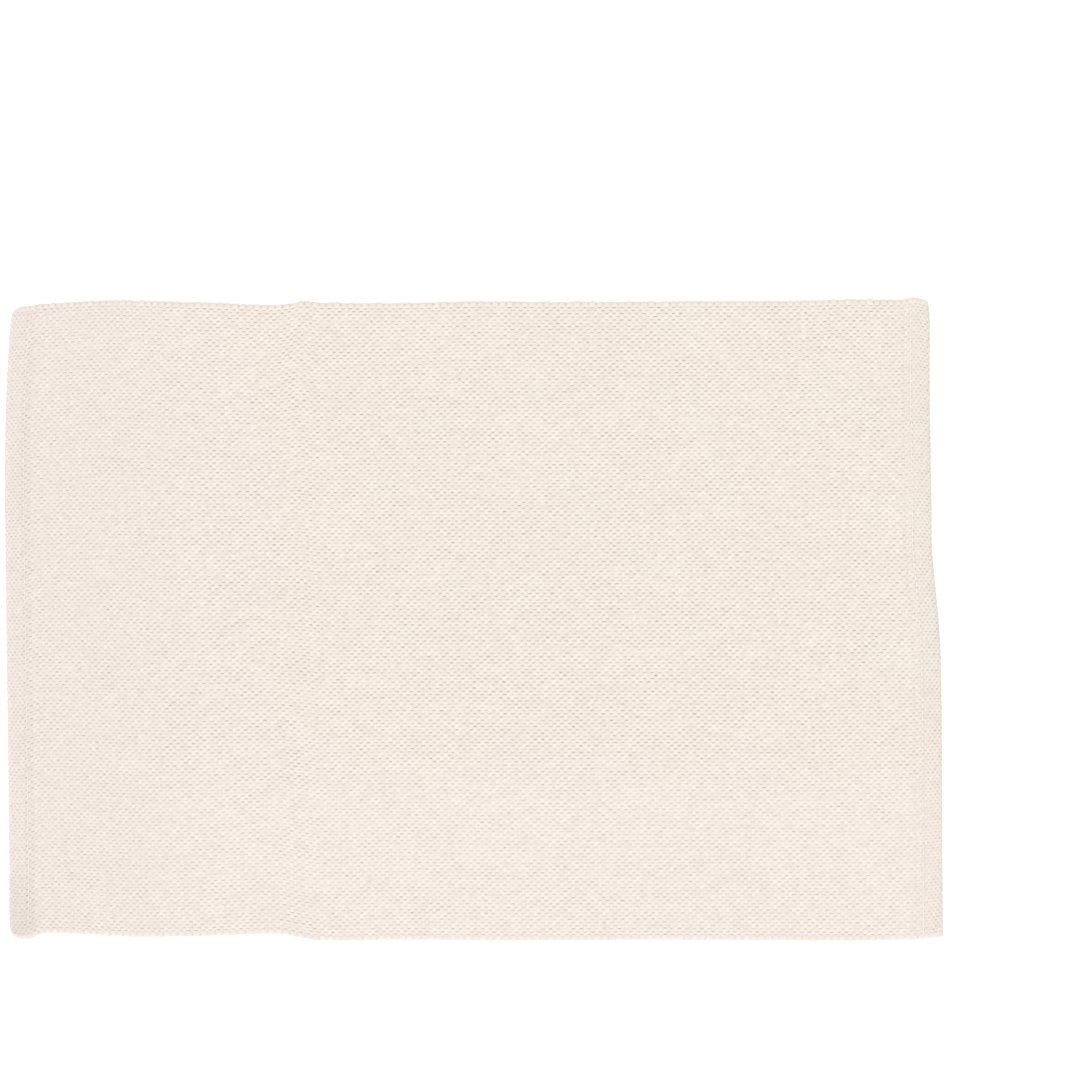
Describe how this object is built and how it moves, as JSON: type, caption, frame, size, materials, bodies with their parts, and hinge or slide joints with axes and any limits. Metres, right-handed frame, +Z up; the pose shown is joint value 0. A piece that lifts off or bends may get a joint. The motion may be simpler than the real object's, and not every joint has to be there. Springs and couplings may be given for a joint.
{
  "type": "fabric placemat",
  "caption": "Flat rectangular ribbed cotton placemat with looped selvedges and stitched end hems, laid under a place setting to protect the table.",
  "frame": {"origin": "middle of the mat's footprint, on the surface that it rests on", "axes": "+X along the long side, +Y along the short side, +Z up out of the cloth's upper face"},
  "size_m": [0.486, 0.3332, 0.0053],
  "materials": {
    "cotton_cloth": "matte natural cotton, thick rib weave"
  },
  "bodies": {
    "root": {"placemat_cloth": "cotton_cloth"}
  },
  "joints": []
}
